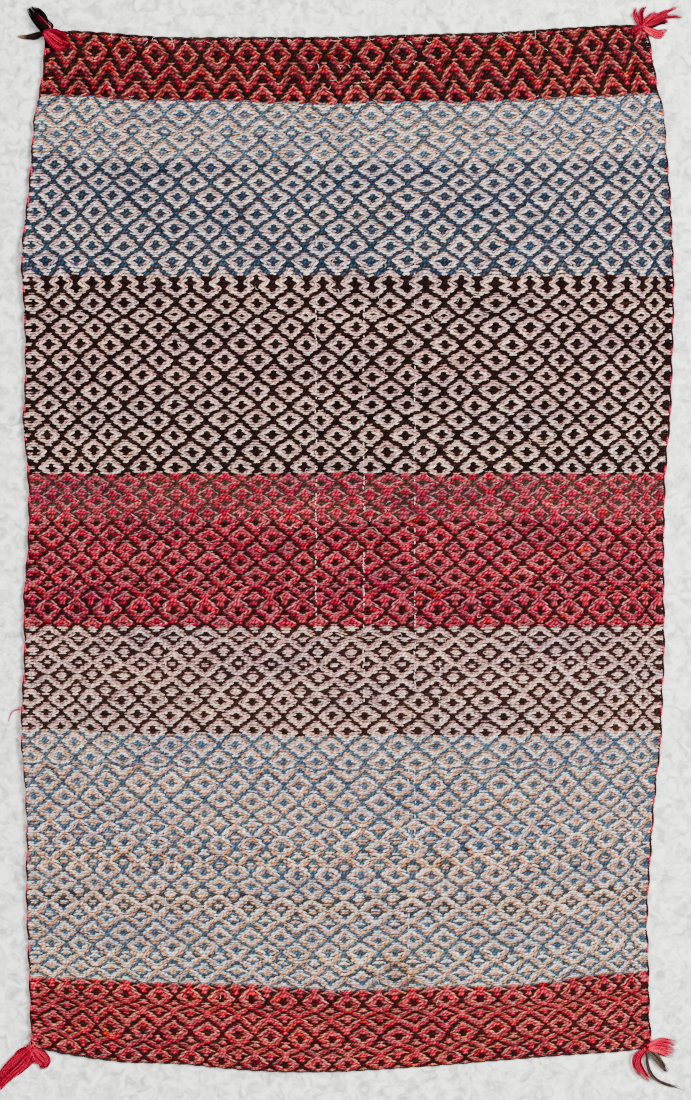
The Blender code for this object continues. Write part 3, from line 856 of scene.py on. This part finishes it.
def joined(name, tubes, colours, material, node=None):
    """Several tubes as one mesh, each in its own colour or colours."""
    points, faces, lengths, rounds, tints, count = [], [], [], [], [], 0
    for number, ((spots, sides, length, turn), colour) in enumerate(zip(tubes, colours)):
        points.append(spots)
        faces.append(sides + count)
        lengths.append(length + number * NEXT_YARN)
        rounds.append(turn)
        tints.append(np.broadcast_to(colour, spots.shape))
        count += len(spots)
    mesh = array_mesh(name, np.concatenate(points), np.concatenate(faces))
    point_colours(mesh, np.clip(np.concatenate(tints), 0, 1))
    yarn_map(mesh, np.concatenate(lengths), np.concatenate(rounds))
    closed = bmesh.new()
    closed.from_mesh(mesh)
    bmesh.ops.remove_doubles(closed, verts=closed.verts, dist=POLE_DISTANCE)
    closed.to_mesh(mesh)
    closed.free()
    flat_map(mesh)
    return shown(name, mesh, material, node)


def cord_line(edge, find, steps):
    """Even places along an edge, a cord's radius inside it: how far along each is, and where it lies."""
    line = np.array([find(edge, k / steps, CORD_RADIUS).to_tuple() for k in range(steps + 1)])
    reach = lengths_along(line)
    at = np.arange(CORD_TRIM, reach[-1] - CORD_TRIM, PLY_SPACING)
    return at, np.stack([np.interp(at, reach, line[:, 0]), np.interp(at, reach, line[:, 1])], axis=1)


def ply(at, line, phase, radius, swelling):
    """One ply of a cord: it winds round the cord's middle line."""
    ahead = np.gradient(line, axis=0)
    ahead /= np.linalg.norm(ahead, axis=1, keepdims=True)
    outwards = np.stack([ahead[:, 1], -ahead[:, 0]], axis=1)
    turn = 2 * math.pi * at / CORD_TWIST_LENGTH + phase
    thinned = swelling * (1 - np.clip(np.sin(turn), 0, 1) ** 4)
    flat = line + outwards * (np.cos(turn) * PLY_OFFSET * (1 - thinned))[:, None]
    level = CORD_RADIUS + lift_at(line[:, 0], line[:, 1]) + np.sin(turn) * PLY_OFFSET
    return tube(np.column_stack([flat, level]), radius * (1 - thinned))


cord_wool = wool("cord_wool", 3.2, 0.4, 0.25)
for edge, find, steps, ply_wools in CORDS:
    at, line = cord_line(edge, find, steps)
    plies = [ply(at, line, math.pi * n, *PLY_RADII[name]) for n, name in enumerate(ply_wools)]
    colours = [COLOURS[name] for name in ply_wools]
    joined(edge + "_edge_cord_plies", plies, colours, cord_wool, edge + "_edge_cord")

# The tassels: the ends of the cords and a few added yarns, knotted together outside each corner. Each has a
# knot and locks of loose yarn. Most locks lie on the floor, and the others over the corner of the cloth.
HEADS = {
    # corner: x, y, long radius, short radius, turn of the long way in degrees
    "top_left": (-374.7, 636.7, 5.5, 5.5, 45),
    "top_right": (363.5, 642.5, 5.5, 5.5, -45),
    "bottom_left": (-390.0, -616.5, 9.0, 5.5, -35),
    "bottom_right": (369.0, -617.0, 7.5, 5.5, 25),
}
# The height that a lock lies at
FLOOR = 0.0
CLOTH = 6.6
LOCKS = {}
# The columns: lies at, strands, root angle in degrees, three places towards its tip, each with how far apart
# the strands are there, thickness, fullness, its wool, and the wool of its tip
LOCKS["top_left"] = (
    (FLOOR, 4, 112, (-378, 649, 3.3), (-385, 659, 3.2), (-394, 669, 1.2), 3.1, 1.3, "jet", "jet"),
    (FLOOR, 2, 190, (-385, 632, 3.6), (-395, 631, 2.5), (-410, 633, 0.5), 3.4, 1.2, "cord_brown", "tan"),
    (CLOTH, 2, 315, (-366, 629, 3.2), (-356, 620, 3.6), (-345, 618, 2.4), 3.1, 2.0, "cherry", "scarlet"),
    (CLOTH, 2, 345, (-361, 635, 3.2), (-352, 631, 3.4), (-344, 624, 2.6), 3.1, 1.6, "deep_red", "cherry"),
    (CLOTH, 2, 60, (-368, 641, 4.0), (-378, 650, 4.4), (-390, 663, 1.8), 3.1, 1.6, "jet", "jet"),
    (CLOTH, 1, 70, (-367, 638, 3.0), (-374, 647, 3.0), (-384, 658, 1.5), 3.1, 1.3, "cherry", "cherry"),
)
LOCKS["top_right"] = (
    (FLOOR, 2, 106, (359, 650, 2.6), (355, 659, 2.8), (357, 669, 1.2), 2.8, 0.9, "cherry", "red"),
    (FLOOR, 2, 84, (363, 653, 2.6), (363, 662, 2.8), (370, 671, 1.0), 2.8, 0.9, "deep_red", "cherry"),
    (FLOOR, 2, 58, (369, 650, 3.0), (376, 657, 3.2), (383, 663, 1.4), 3.4, 1.1, "cherry", "cherry"),
    (FLOOR, 2, 42, (376, 653, 2.6), (389, 660, 2.4), (412, 671, 0.8), 3.0, 1.1, "cherry", "cherry"),
    (FLOOR, 2, 30, (379, 650, 3.0), (393, 656, 2.4), (417, 656, 0.8), 3.4, 1.1, "deep_red", "cherry"),
    (FLOOR, 2, 20, (377, 646, 3.0), (387, 650, 3.0), (398, 650, 1.0), 3.0, 1.1, "jet", "cherry"),
    (FLOOR, 3, 340, (377, 637, 2.8), (386, 635, 3.2), (396, 642, 1.2), 3.6, 1.1, "scarlet", "scarlet"),
    (CLOTH, 2, 200, (358, 640, 3.4), (354, 637, 3.6), (350, 633, 2.4), 2.4, 1.3, "deep_red", "cherry"),
)
LOCKS["bottom_left"] = (
    (FLOOR, 2, 190, (-402, -620, 2.6), (-412, -630, 2.4), (-420, -643, 1.6), 2.4, 0.9, "cherry", "soft_black"),
    (FLOOR, 7, 216, (-403, -632, 2.4), (-420, -649, 2.2), (-441, -672, 1.5), 3.2, 1.2, "cherry", "scarlet"),
    (FLOOR, 3, 240, (-391, -632, 2.6), (-402, -643, 2.4), (-416, -654, 1.2), 3.4, 1.1, "deep_red", "cherry"),
    (FLOOR, 4, 296, (-381, -628, 4.0), (-374, -636, 3.2), (-377, -645, 1.0), 3.0, 1.2, "cherry", "soft_black"),
)
LOCKS["bottom_right"] = (
    (FLOOR, 4, 8, (383, -615, 2.9), (394, -617, 3.3), (407, -620, 2.8), 4.4, 1.7, "scarlet", "grey_pink"),
    (FLOOR, 2, 322, (381, -629, 3.2), (388, -638, 2.6), (397, -649, 0.8), 3.2, 1.4, "umber", "soft_black"),
    (FLOOR, 1, 296, (372, -643, 3.0), (385, -659, 3.0), (417, -670, 1.2), 3.4, 1.3, "umber", "soft_black"),
    (FLOOR, 3, 232, (358, -629, 3.4), (360, -643, 3.2), (374, -661, 1.6), 3.2, 1.1, "cherry", "scarlet"),
)
KNOT_BIGHTS = 9
KNOT_HEIGHT = 8.0
BIGHT_STEPS = 12
BIGHT_RADIUS = 1.15
BIGHT_SIDES = 6
# How far apart the feet of a bight are beside the knot's mean width, how high they lie, and how far its crown
# stays short of the knot's height above them
BIGHT_SPAN = 0.82
BIGHT_FOOT = 1.2
BIGHT_SAG = 2.0
# How far a bight may be skewed, in radians, and lie aside, in short radii, and how much lower that makes it
BIGHT_SKEW = 0.3
BIGHT_ASIDE = 0.45
LOWER_ASIDE = 0.3
CROWN_UNEVEN = 0.12
BIGHT_SHADES = (0.7, 1.1)
YARNS_PER_STRAND = 12
YARN_STEPS = 13
YARN_RADIUS = 0.75
YARN_SIDES = 5
# The part of its radius that a yarn has lost at its tip, and the parts of its length in which it comes down
# from the knot and in which the wool of the tip comes in
YARN_TAPER = 0.62
YARN_ROOT = 0.28
YARN_TIP = 0.3
# How far a yarn winds from side to side and how often, and how far it may lean
YARN_WAVE = 0.5
YARN_WAVES = 8
YARN_LEAN = 1.4
# How deep in the knot a yarn begins, how far below the knot's height, and how much of the lock it runs along
YARN_ROOTS = (-1.0, 2.5)
ROOT_BELOW_KNOT = 3.2
YARN_LENGTHS = (0.72, 1.0)
# The power that crowds the yarns low in the lock, how closely they are packed, and how dark the lowest are
# painted, as shade under the yarns above them
LOW_YARNS = 1.4
PACKED = 0.9
LOWEST_PAINTED_SHADE = 0.45
YARN_SHADES = (0.5, 1.25)
# The part of the height that its lock lies at by which a yarn's root is lowered
ROOT_SINKS = 0.6


def strand_line(root, places, offset):
    """The points of one strand: the lock's middle line shifted sideways by offset times its spread."""
    middle = [root, *(Vector((x, y)) for x, y, spread in places)]
    line = [root]
    for k, (x, y, spread) in enumerate(places, 1):
        ahead = middle[min(k + 1, len(places))] - middle[k - 1]
        line.append(middle[k] + Vector((-ahead.y, ahead.x)).normalized() * spread * offset)
    return line


def on_line(line, share):
    """A place on a smooth curve through a line's points, share running 0 to 1, and its direction."""
    spans = len(line) - 1
    k = min(int(share * spans), spans - 1)
    u = share * spans - k
    before, start, end, after = (line[max(k - 1, 0)], line[k], line[k + 1], line[min(k + 2, spans)])
    leave, arrive = (end - before) / 2, (after - start) / 2
    direction = (
        (start - end) * (6 * u**2 - 6 * u)
        + leave * (3 * u**2 - 4 * u + 1)
        + arrive * (3 * u**2 - 2 * u)
    )
    return smooth_curve(start, leave, end, arrive, u), direction.normalized()


def heading_of(angle):
    """The direction of an angle on the floor, and the one to its left."""
    return Vector((math.cos(angle), math.sin(angle))), Vector((-math.sin(angle), math.cos(angle)))


def bight(middle, heading, long_radius, short_radius):
    """One bight of a knot: yarn drawn over it from side to side."""
    ahead, left = heading_of(heading + luck.uniform(-BIGHT_SKEW, BIGHT_SKEW))
    aside = luck.uniform(-BIGHT_ASIDE, BIGHT_ASIDE)
    crown = KNOT_HEIGHT * (1 - LOWER_ASIDE * abs(aside) - CROWN_UNEVEN * luck.random())
    line = []
    for step in range(BIGHT_STEPS + 1):
        angle = math.pi * step / BIGHT_STEPS
        out = -math.cos(angle) * (long_radius + short_radius) / 2 * BIGHT_SPAN
        spot = middle + ahead * out + left * aside * short_radius
        line.append((spot.x, spot.y, BIGHT_FOOT + (crown - BIGHT_SAG) * math.sin(angle)))
    return tube(line, BIGHT_RADIUS, BIGHT_SIDES)


def lock_yarn(middle, lock):
    """One loose yarn of a lock, and the colours along it."""
    lies_at, strands, root_angle, *places, thick, fullness, colour, tip_colour = lock
    ahead, left = heading_of(math.radians(root_angle))
    offset = luck.uniform(-0.5, 0.5) * strands * fullness
    layer = luck.random() ** LOW_YARNS
    root = middle + ahead * luck.uniform(*YARN_ROOTS) + left * offset * PACKED
    line = strand_line(root, places, offset)
    end_share = luck.uniform(*YARN_LENGTHS)
    wave, lean = luck.uniform(0, 6), luck.uniform(-YARN_LEAN, YARN_LEAN)
    centres, radii, shades = [], [], []
    for step in range(YARN_STEPS + 1):
        share = step / YARN_STEPS * end_share
        place, direction = on_line(line, share)
        sideways = Vector((-direction.y, direction.x))
        strayed = math.sin(share * YARN_WAVES + wave) * YARN_WAVE * share + lean * share * share
        spot = place + sideways * strayed
        radius = YARN_RADIUS * (1 - YARN_TAPER * (share / end_share) ** 2)
        rooted = max(0.0, 1 - share / YARN_ROOT)
        raised = rooted * (KNOT_HEIGHT - ROOT_BELOW_KNOT - lies_at * ROOT_SINKS)
        height = lies_at + radius + layer * thick * PACKED + raised
        centres.append((spot.x, spot.y, height))
        radii.append(radius)
        blend = max(0.0, (share - 1 + YARN_TIP) / YARN_TIP)
        shades.append([a * (1 - blend) + b * blend for a, b in zip(COLOURS[colour], COLOURS[tip_colour])])
    # Painted shade: the yarns lowest in the lock, under the others, are coloured darker
    shade = luck.uniform(*YARN_SHADES) * (LOWEST_PAINTED_SHADE + (1 - LOWEST_PAINTED_SHADE) * layer)
    return tube(centres, radii, YARN_SIDES), np.repeat(np.array(shades) * shade, YARN_SIDES, axis=0)


loose_wool = wool("loose_wool", 2.4, 0.4, 0.3)
luck = random.Random(7)
for name, (head_x, head_y, long_radius, short_radius, head_turn) in HEADS.items():
    yarns, tints = [], []
    middle = Vector((head_x, head_y))
    for wind in range(KNOT_BIGHTS):
        heading = math.radians(head_turn) + math.pi * wind / KNOT_BIGHTS
        yarns.append(bight(middle, heading, long_radius, short_radius))
        dark = wind % 3 == 1 or (name == "top_left" and wind % 2 == 0)
        tints.append(np.array(COLOURS["jet" if dark else "cherry"]) * luck.uniform(*BIGHT_SHADES))
    for lock in LOCKS[name]:
        strands, fullness = lock[1], lock[7]
        for _ in range(round(strands * YARNS_PER_STRAND * fullness)):
            yarn, tint = lock_yarn(middle, lock)
            yarns.append(yarn)
            tints.append(tint)
    joined(f"tassel_{name}_yarns", yarns, tints, loose_wool, "tassel_" + name)

# The end of a joined weft yarn: red and of three plies, left long, it leaves the left cord below the middle
# of the blanket and bends to the floor.
YARN_END_LINE = (
    # across, along, height of its underside
    (-403.2, -199.0, 3.2),
    (-412.0, -201.0, 1.0),
    (-416.5, -207.0, 0.0),
    (-419.0, -215.0, 0.0),
)
END_PLIES = 3
END_STEPS = 13
END_SIDES = 6
END_RADIUS = 0.62
END_TAPER = 0.32
# How far the plies turn round each other, in radians
END_TWIST = 9

yarn_end = [Vector(point) for point in YARN_END_LINE]
plies = []
for number in range(END_PLIES):
    centres, radii = [], []
    for step in range(END_STEPS + 1):
        share = step / END_STEPS
        place, direction = on_line(yarn_end, share)
        radius = END_RADIUS - END_TAPER * share
        turn = 2 * math.pi * number / END_PLIES + share * END_TWIST
        sideways = Vector((-direction.y, direction.x)).normalized()
        spot = place.xy + sideways * math.cos(turn) * radius
        centres.append((spot.x, spot.y, max(place.z, 0.0) + radius * (1.9 + math.sin(turn) * 0.9)))
        radii.append(radius)
    plies.append(tube(centres, radii, END_SIDES))
joined("loose_yarn_end_plies", plies, [COLOURS["red"]] * END_PLIES, loose_wool, "loose_yarn_end")

# Wear: where the wefts have worn thin, pale warps show in lines down the cloth, and broken fibres of the
# wefts curl up from its face and along its upper end.
WORN_WARPS = (
    # across, along at the top and at the bottom, part of it that shows
    (-39, 386, -89, 0.6),
    (20, 306, -212, 0.6),
    (83, 392, -385, 0.5),
    (114, -126, -212, 0.55),
    (-225, -64, -459, 0.25),
    (75, -237, -533, 0.35),
)
FUZZY_PLACES = (
    # across, along, reach across, reach along, fibres
    (40, 590, 170, 40, 12),
    (60, 520, 200, 60, 26),
    (60, 330, 160, 60, 40),
    (60, 100, 110, 160, 40),
    (60, -130, 120, 90, 24),
    (0, -300, 330, 200, 30),
    (30, -510, 160, 60, 24),
    (0, 200, 360, 300, 40),
    (-150, 627, 220, 5, 30),
    (180, 633, 200, 5, 26),
)
# No fibre lies further than this from the middle, across and along
FUZZ_LIMITS = (375, 634)
WORN_STEPS = 4
WORN_RADIUS = 0.55
WORN_SIDES = 5
# How long the bare stretches of a warp are and how far apart, how far aside of its line, and how they bulge
WORN_LENGTHS = (2.0, 6.5)
WORN_GAPS = (0.0, 2.5)
WORN_ASIDE = 0.8
WORN_BULGE = 0.5
WORN_SHADES = (0.7, 1.0)
FIBRE_STEPS = 7
FIBRE_STEP = 1.1
FIBRE_SIDES = 4
FIBRE_RADII = (0.12, 0.22)
FIBRE_HEIGHTS = (0.8, 1.6)
# How far a fibre bends at every step, and how unevenly
FIBRE_BEND = 0.5
FIBRE_UNEVEN = 0.2
FIBRE_SHADES = (0.8, 1.1)


def worn_stretch(x, y, length):
    """A stretch of bare warp, from y downwards, that bulges between the wefts at its ends."""
    centres = []
    for step in range(WORN_STEPS + 1):
        at = y - length * step / WORN_STEPS
        rise = math.sin(math.pi * step / WORN_STEPS) * WORN_BULGE
        centres.append((x + math.sin(at) * 0.25, at, float(top_at(x, at)) + 0.1 + rise))
    return tube(centres, WORN_RADIUS, WORN_SIDES)


def broken_fibre(x, y):
    """A short fibre that curls up from a place and sinks back."""
    heading, bend = worn.uniform(0, 2 * math.pi), worn.uniform(-FIBRE_BEND, FIBRE_BEND)
    centres = []
    for step in range(FIBRE_STEPS + 1):
        height = math.sin(math.pi * min(step / FIBRE_STEPS * 1.2, 1.0)) * worn.uniform(*FIBRE_HEIGHTS)
        centres.append((x, y, float(top_at(x, y)) + 0.3 + height))
        x += math.cos(heading) * FIBRE_STEP
        y += math.sin(heading) * FIBRE_STEP
        heading += bend + worn.uniform(-FIBRE_UNEVEN, FIBRE_UNEVEN)
    return tube(centres, worn.uniform(*FIBRE_RADII), FIBRE_SIDES)


worn = random.Random(3)
threads, tints = [], []
for across, high, low, part_shown in WORN_WARPS:
    y = high
    while y > low:
        length = worn.uniform(*WORN_LENGTHS)
        if worn.random() < part_shown:
            threads.append(worn_stretch(across + worn.uniform(-WORN_ASIDE, WORN_ASIDE), y, length))
            tints.append(np.array(COLOURS["white"]) * worn.uniform(*WORN_SHADES))
        y -= length + worn.uniform(*WORN_GAPS)
for across, along, reach_across, reach_along, count in FUZZY_PLACES:
    for _ in range(count):
        x, y = across + worn.gauss(0, reach_across / 2), along + worn.gauss(0, reach_along / 2)
        if abs(x) <= FUZZ_LIMITS[0] and abs(y) <= FUZZ_LIMITS[1]:
            threads.append(broken_fibre(x, y))
            tints.append(np.array(COLOURS["cream"]) * worn.uniform(*FIBRE_SHADES))
fuzz = joined("worn_warps_and_fibres", threads, tints, loose_wool)

# The studio: a pale plain floor, a wide soft light from the right, a weaker one opposite, and the camera
# straight above the middle of the photograph. Places and sizes here are in metres.
FLOOR_REACH = 40.0
FLOOR_ROUGHNESS = 0.9
FLOOR_TONES = ((160, 159, 157), (240, 239, 236))

floor_shape = bmesh.new()
bmesh.ops.create_grid(floor_shape, x_segments=1, y_segments=1, size=FLOOR_REACH)
floor_mesh = bpy.data.meshes.new("floor")
floor_shape.to_mesh(floor_mesh)
floor_shape.free()
floor_paint, tree, paint = matt("floor_paint", FLOOR_ROUGHNESS)
on_floor = node_of(tree, "TexCoord", {}).outputs["Object"]
grain_sockets = {"Vector": on_floor, "Scale": 75.0, "Detail": 6.0, "Distortion": 1.2}
grain = node_of(tree, "TexNoise", grain_sockets).outputs["Fac"]
spread = node_of(tree, "MapRange", {"Value": grain, "From Min": 0.32, "From Max": 0.62}).outputs["Result"]
dark, light = ((*srgb(*tone), 1) for tone in FLOOR_TONES)
tone = node_of(tree, "Mix", {0: spread, 6: dark, 7: light}, data_type="RGBA").outputs[2]
tree.links.new(tone, paint.inputs["Base Color"])
floor_mesh.materials.append(floor_paint)
in_scene("floor", floor_mesh)


def area_light(name, place, size, power):
    """A square soft light that faces the middle of the blanket."""
    lamp = bpy.data.lights.new(name, "AREA")
    lamp.size = size
    lamp.energy = power
    thing = in_scene(name, lamp)
    thing.location = place
    thing.rotation_euler = (-Vector(place)).to_track_quat("-Z", "Y").to_euler()


area_light("key_light", (4.0, 1.0, 3.2), 1.8, 1120)
area_light("fill_light", (-3.0, -1.0, 4.0), 3.0, 135)

world = bpy.data.worlds.new("soft_room")
world.use_nodes = True
sky = world.node_tree.nodes["Background"]
sky.inputs["Color"].default_value = (1.0, 0.995, 0.99, 1.0)
sky.inputs["Strength"].default_value = 0.9
bpy.context.scene.world = world

CAMERA_HEIGHT = 3.2
# The level of the cloth's face, over which the camera's height is measured
FACE_LEVEL = 0.005
# The middle of the photograph in the frame, and how much of the floor it shows from top to bottom
PHOTO_MIDDLE = (0.01199, -0.00053)
PHOTO_HEIGHT = 1.3574
SENSOR = 36.0
lens = bpy.data.cameras.new("camera")
lens.sensor_width = SENSOR
lens.lens = SENSOR * CAMERA_HEIGHT / PHOTO_HEIGHT
camera = in_scene("camera", lens)
camera.location = (*PHOTO_MIDDLE, CAMERA_HEIGHT + FACE_LEVEL)
bpy.context.scene.camera = camera
